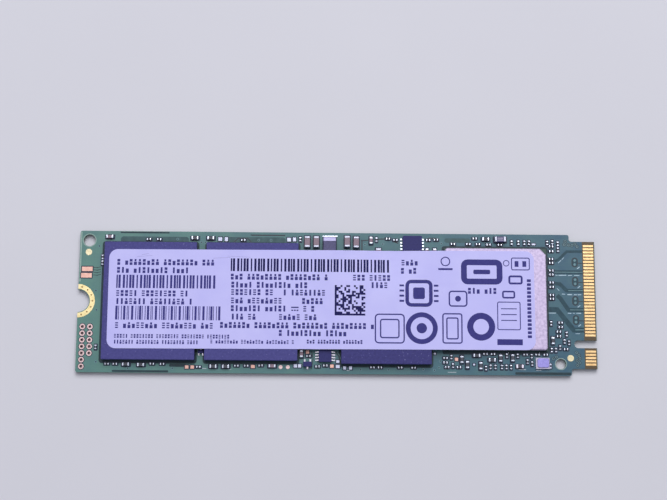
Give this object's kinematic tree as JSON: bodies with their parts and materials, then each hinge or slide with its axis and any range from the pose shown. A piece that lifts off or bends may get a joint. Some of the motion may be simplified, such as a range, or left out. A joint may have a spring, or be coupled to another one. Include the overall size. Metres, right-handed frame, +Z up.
{
  "type": "m.2 solid state drive",
  "caption": "Thin green circuit card with a keyed gold edge connector, a screw notch, memory packages, a lidded controller and a white label, for plugging into a computer board.",
  "frame": {"origin": "centre of the card's outline, on its underside", "axes": "+X along the card towards the edge contacts, +Y across it away from the key notch, +Z up through the fitted side"},
  "size_m": [0.08, 0.022, 0.0021],
  "materials": {
    "solder_mask": "satin green solder mask over glass laminate",
    "gold": "gold plating",
    "tin": "tinned copper",
    "copper": "bare copper",
    "mould_compound": "matt epoxy mould compound",
    "carrier_laminate": "laminate carrier",
    "silicon": "bare silicon",
    "nickel": "satin nickel plating",
    "ceramic_tan": "fired ceramic",
    "ceramic_dark": "fired ceramic with dark glaze",
    "solder": "bright solder",
    "ferrite": "grey pressed ferrite",
    "white_ceramic": "white ceramic",
    "lamp_resin": "clear resin over a dark chip",
    "label_paper": "satin label stock"
  },
  "bodies": {
    "root": {"circuit_board": "solder_mask", "edge_contacts_top": "gold", "edge_contacts_bottom": "gold", "mount_rings": "gold", "header_sleeves": "tin", "gold_dots": "gold", "copper_pads": "copper", "solder_pads": "solder", "flash_left": "mould_compound", "flash_right": "mould_compound", "flash_balls": "solder", "cache_memory": "mould_compound", "cache_balls": "solder", "controller_carrier": "carrier_laminate", "controller_die": "silicon", "controller_lid": "nickel", "controller_balls": "solder", "capacitors_0603": "ceramic_tan", "ferrite_bead": "ferrite", "end_caps_0603": "tin", "capacitors_0402": "ceramic_tan", "resistors_0402": "ceramic_dark", "end_caps_0402": "tin", "chips_0201": "ceramic_dark", "end_caps_0201": "tin", "inductor_core": "ferrite", "inductor_caps": "tin", "regulator_body": "mould_compound", "regulator_lands": "solder", "switch_body": "mould_compound", "switch_leads": "tin", "transistors": "mould_compound", "transistor_leads": "tin", "crystal_base": "white_ceramic", "crystal_lid": "nickel", "lamp_body": "lamp_resin", "lamp_caps": "tin", "label": "label_paper"}
  },
  "joints": []
}
